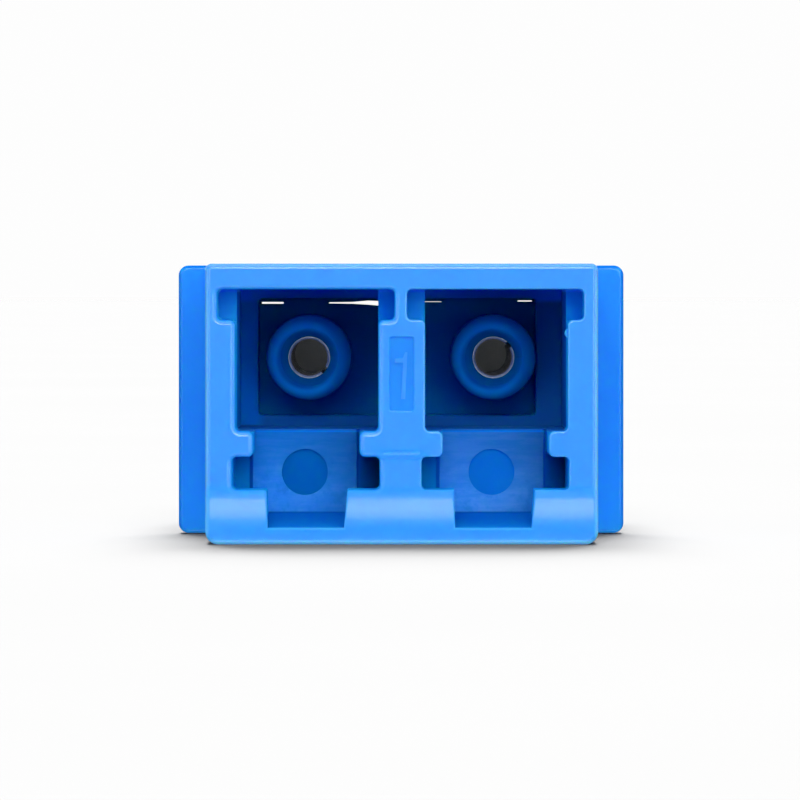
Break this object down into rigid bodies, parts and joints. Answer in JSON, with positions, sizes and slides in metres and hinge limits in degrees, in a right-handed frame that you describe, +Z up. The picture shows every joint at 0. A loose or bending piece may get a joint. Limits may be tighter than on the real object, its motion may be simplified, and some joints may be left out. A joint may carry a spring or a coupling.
{
  "type": "duplex fibre adapter",
  "caption": "Blue duplex fibre-optic panel adapter: side-by-side latched ports with white split sleeves, a short side flange, a spring panel clip and a milky pull-off dust cap on the far side.",
  "frame": {"origin": "on the bottom face, on the middle plane between the two ports, at the joint between the two housing halves", "axes": "+Z up, away from the latch slots; +Y along the ports, from the near (pictured) end to the capped far end; +X to the right as seen from the near end"},
  "size_m": [0.0154, 0.0312, 0.0093],
  "materials": {
    "blue_plastic": "satin moulded blue plastic",
    "blue_plastic_rear": "satin moulded blue plastic",
    "white_ceramic": "ground white zirconia",
    "spring_steel": "bright rolled spring strip",
    "milky_plastic": "soft milky moulded plastic"
  },
  "bodies": {
    "adapter": {"front_housing": "blue_plastic", "rear_housing": "blue_plastic_rear", "left_split_sleeve": "white_ceramic", "right_split_sleeve": "white_ceramic", "panel_clip": "spring_steel"},
    "cap": {"rear_dust_cap": "milky_plastic"}
  },
  "joints": [
    {"name": "cap_pull", "type": "slide", "parent": "adapter", "child": "cap", "axis": [0, 1, 0], "range_m": [0, 0.012]}
  ]
}
